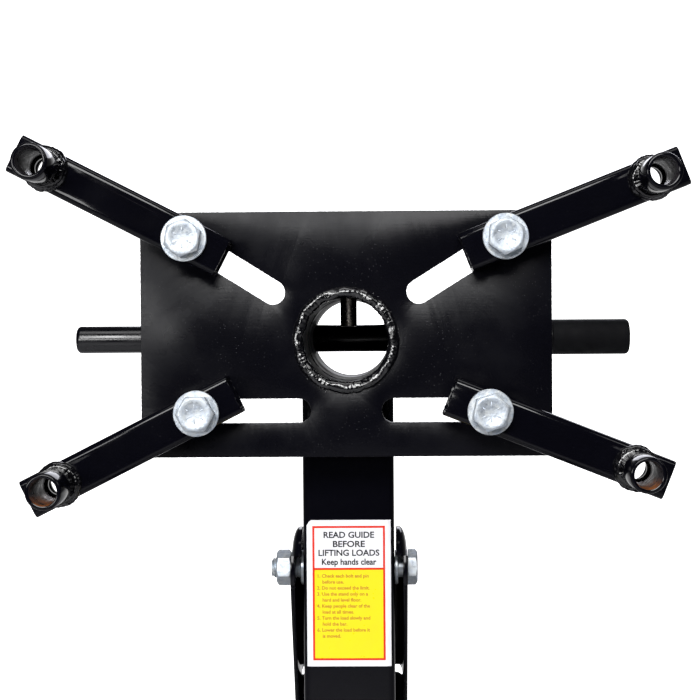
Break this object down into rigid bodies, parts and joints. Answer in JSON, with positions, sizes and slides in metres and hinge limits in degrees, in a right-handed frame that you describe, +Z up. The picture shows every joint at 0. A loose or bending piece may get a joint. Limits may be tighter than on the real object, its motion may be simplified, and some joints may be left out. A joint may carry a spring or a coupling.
{
  "type": "engine stand",
  "caption": "Folding floor stand on casters that holds an engine by slotted arms on a plate that turns on a post.",
  "frame": {"origin": "on the floor, under the middle of the stand's footprint", "axes": "+Z up, +Y from the head towards the back of the stand along the head's turning axis, +X to the right seen from the engine's side"},
  "size_m": [0.7606, 0.996, 0.979],
  "materials": {
    "black_paint": "gloss black enamel",
    "plate_coat": "semi-gloss black enamel on a rough plate",
    "zinc": "bright zinc plating",
    "caster_steel": "dull zinc plating",
    "grip_rubber": "matt black rubber",
    "wheel_nylon": "moulded black plastic",
    "cap_plastic": "moulded black plastic"
  },
  "bodies": {
    "frame": {"post": "black_paint", "head_collar": "black_paint", "brace": "black_paint", "brace_ear_left": "black_paint", "brace_ear_right": "black_paint", "brace_bolt": "zinc", "brace_nut": "zinc", "rear_beam": "black_paint", "rear_crossbar": "black_paint", "rear_cap_left": "cap_plastic", "rear_cap_right": "cap_plastic", "hinge_bracket": "black_paint", "hinge_bolt": "zinc", "hinge_nut": "zinc", "caster_rear_left_plate": "caster_steel", "caster_rear_right_plate": "caster_steel"},
    "front_leg": {"front_beam": "black_paint", "front_crossbar": "black_paint", "front_cap_left": "cap_plastic", "front_cap_right": "cap_plastic", "caster_front_left_plate": "caster_steel", "caster_front_right_plate": "caster_steel"},
    "fold_clamp": {"fold_clamp_knob": "cap_plastic"},
    "head": {"mounting_plate": "plate_coat", "head_tube": "black_paint"},
    "lock_pin": {"lock_pin": "zinc"},
    "handle": {"handle_bar": "black_paint", "handle_grip": "grip_rubber"},
    "bolt_upper_left": {"arm_upper_left_bolt": "zinc", "arm_upper_left_washer": "zinc", "arm_upper_left_nut": "zinc"},
    "arm_upper_left": {"arm_upper_left_tube": "black_paint", "arm_upper_left_cup": "black_paint"},
    "bolt_upper_right": {"arm_upper_right_bolt": "zinc", "arm_upper_right_washer": "zinc", "arm_upper_right_nut": "zinc"},
    "arm_upper_right": {"arm_upper_right_tube": "black_paint", "arm_upper_right_cup": "black_paint"},
    "bolt_lower_left": {"arm_lower_left_bolt": "zinc", "arm_lower_left_washer": "zinc", "arm_lower_left_nut": "zinc"},
    "arm_lower_left": {"arm_lower_left_tube": "black_paint", "arm_lower_left_cup": "black_paint"},
    "bolt_lower_right": {"arm_lower_right_bolt": "zinc", "arm_lower_right_washer": "zinc", "arm_lower_right_nut": "zinc"},
    "arm_lower_right": {"arm_lower_right_tube": "black_paint", "arm_lower_right_cup": "black_paint"},
    "caster_rear_left_swivel": {"caster_rear_left_fork": "caster_steel", "caster_rear_left_axle": "zinc"},
    "caster_rear_left_roller": {"caster_rear_left_wheel": "wheel_nylon"},
    "caster_rear_right_swivel": {"caster_rear_right_fork": "caster_steel", "caster_rear_right_axle": "zinc"},
    "caster_rear_right_roller": {"caster_rear_right_wheel": "wheel_nylon"},
    "caster_front_left_swivel": {"caster_front_left_fork": "caster_steel", "caster_front_left_axle": "zinc"},
    "caster_front_left_roller": {"caster_front_left_wheel": "wheel_nylon"},
    "caster_front_right_swivel": {"caster_front_right_fork": "caster_steel", "caster_front_right_axle": "zinc"},
    "caster_front_right_roller": {"caster_front_right_wheel": "wheel_nylon"}
  },
  "joints": [
    {"name": "head_spin", "type": "hinge", "parent": "frame", "child": "head", "pos_m": [0, -0.013, 0.85], "axis": [0, 1, 0], "continuous": true},
    {"name": "lock_pin_pull", "type": "slide", "parent": "frame", "child": "lock_pin", "axis": [0, 0, 1], "range_m": [0, 0.028]},
    {"name": "handle_slide", "type": "slide", "parent": "head", "child": "handle", "axis": [1, 0, 0], "range_m": [-0.1, 0.1]},
    {"name": "front_fold", "type": "hinge", "parent": "frame", "child": "front_leg", "pos_m": [0, -0.038, 0.13], "axis": [-1, 0, 0], "range_deg": [0, 90]},
    {"name": "fold_clamp_turn", "type": "hinge", "parent": "front_leg", "child": "fold_clamp", "pos_m": [0, -0.098, 0.13], "axis": [1, 0, 0], "continuous": true},
    {"name": "slide_upper_left", "type": "slide", "parent": "head", "child": "bolt_upper_left", "axis": [0.848, 0, -0.5299], "range_m": [-0.017, 0.055]},
    {"name": "swivel_upper_left", "type": "hinge", "parent": "bolt_upper_left", "child": "arm_upper_left", "pos_m": [-0.099, -0.026, 0.9139], "axis": [0, 1, 0], "range_deg": [-45, 45]},
    {"name": "slide_upper_right", "type": "slide", "parent": "head", "child": "bolt_upper_right", "axis": [0.848, 0, 0.5299], "range_m": [-0.054, 0.017]},
    {"name": "swivel_upper_right", "type": "hinge", "parent": "bolt_upper_right", "child": "arm_upper_right", "pos_m": [0.099, -0.026, 0.9139], "axis": [0, 1, 0], "range_deg": [-45, 45]},
    {"name": "slide_lower_left", "type": "slide", "parent": "head", "child": "bolt_lower_left", "axis": [1, 0, 0], "range_m": [-0.005, 0.046]},
    {"name": "swivel_lower_left", "type": "hinge", "parent": "bolt_lower_left", "child": "arm_lower_left", "pos_m": [-0.0922, -0.026, 0.806], "axis": [0, 1, 0], "range_deg": [-45, 45]},
    {"name": "slide_lower_right", "type": "slide", "parent": "head", "child": "bolt_lower_right", "axis": [1, 0, 0], "range_m": [-0.043, 0.008]},
    {"name": "swivel_lower_right", "type": "hinge", "parent": "bolt_lower_right", "child": "arm_lower_right", "pos_m": [0.0891, -0.026, 0.806], "axis": [0, 1, 0], "range_deg": [-45, 45]},
    {"name": "caster_rear_left_turn", "type": "hinge", "parent": "frame", "child": "caster_rear_left_swivel", "pos_m": [-0.33, 0.432, 0.09], "axis": [0, 0, 1], "continuous": true},
    {"name": "caster_rear_left_roll", "type": "hinge", "parent": "caster_rear_left_swivel", "child": "caster_rear_left_roller", "pos_m": [-0.33, 0.46, 0.038], "axis": [1, 0, 0], "continuous": true},
    {"name": "caster_rear_right_turn", "type": "hinge", "parent": "frame", "child": "caster_rear_right_swivel", "pos_m": [0.33, 0.432, 0.09], "axis": [0, 0, 1], "continuous": true},
    {"name": "caster_rear_right_roll", "type": "hinge", "parent": "caster_rear_right_swivel", "child": "caster_rear_right_roller", "pos_m": [0.33, 0.46, 0.038], "axis": [1, 0, 0], "continuous": true},
    {"name": "caster_front_left_turn", "type": "hinge", "parent": "front_leg", "child": "caster_front_left_swivel", "pos_m": [-0.33, -0.468, 0.09], "axis": [0, 0, 1], "continuous": true},
    {"name": "caster_front_left_roll", "type": "hinge", "parent": "caster_front_left_swivel", "child": "caster_front_left_roller", "pos_m": [-0.33, -0.44, 0.038], "axis": [1, 0, 0], "continuous": true},
    {"name": "caster_front_right_turn", "type": "hinge", "parent": "front_leg", "child": "caster_front_right_swivel", "pos_m": [0.33, -0.468, 0.09], "axis": [0, 0, 1], "continuous": true},
    {"name": "caster_front_right_roll", "type": "hinge", "parent": "caster_front_right_swivel", "child": "caster_front_right_roller", "pos_m": [0.33, -0.44, 0.038], "axis": [1, 0, 0], "continuous": true}
  ]
}
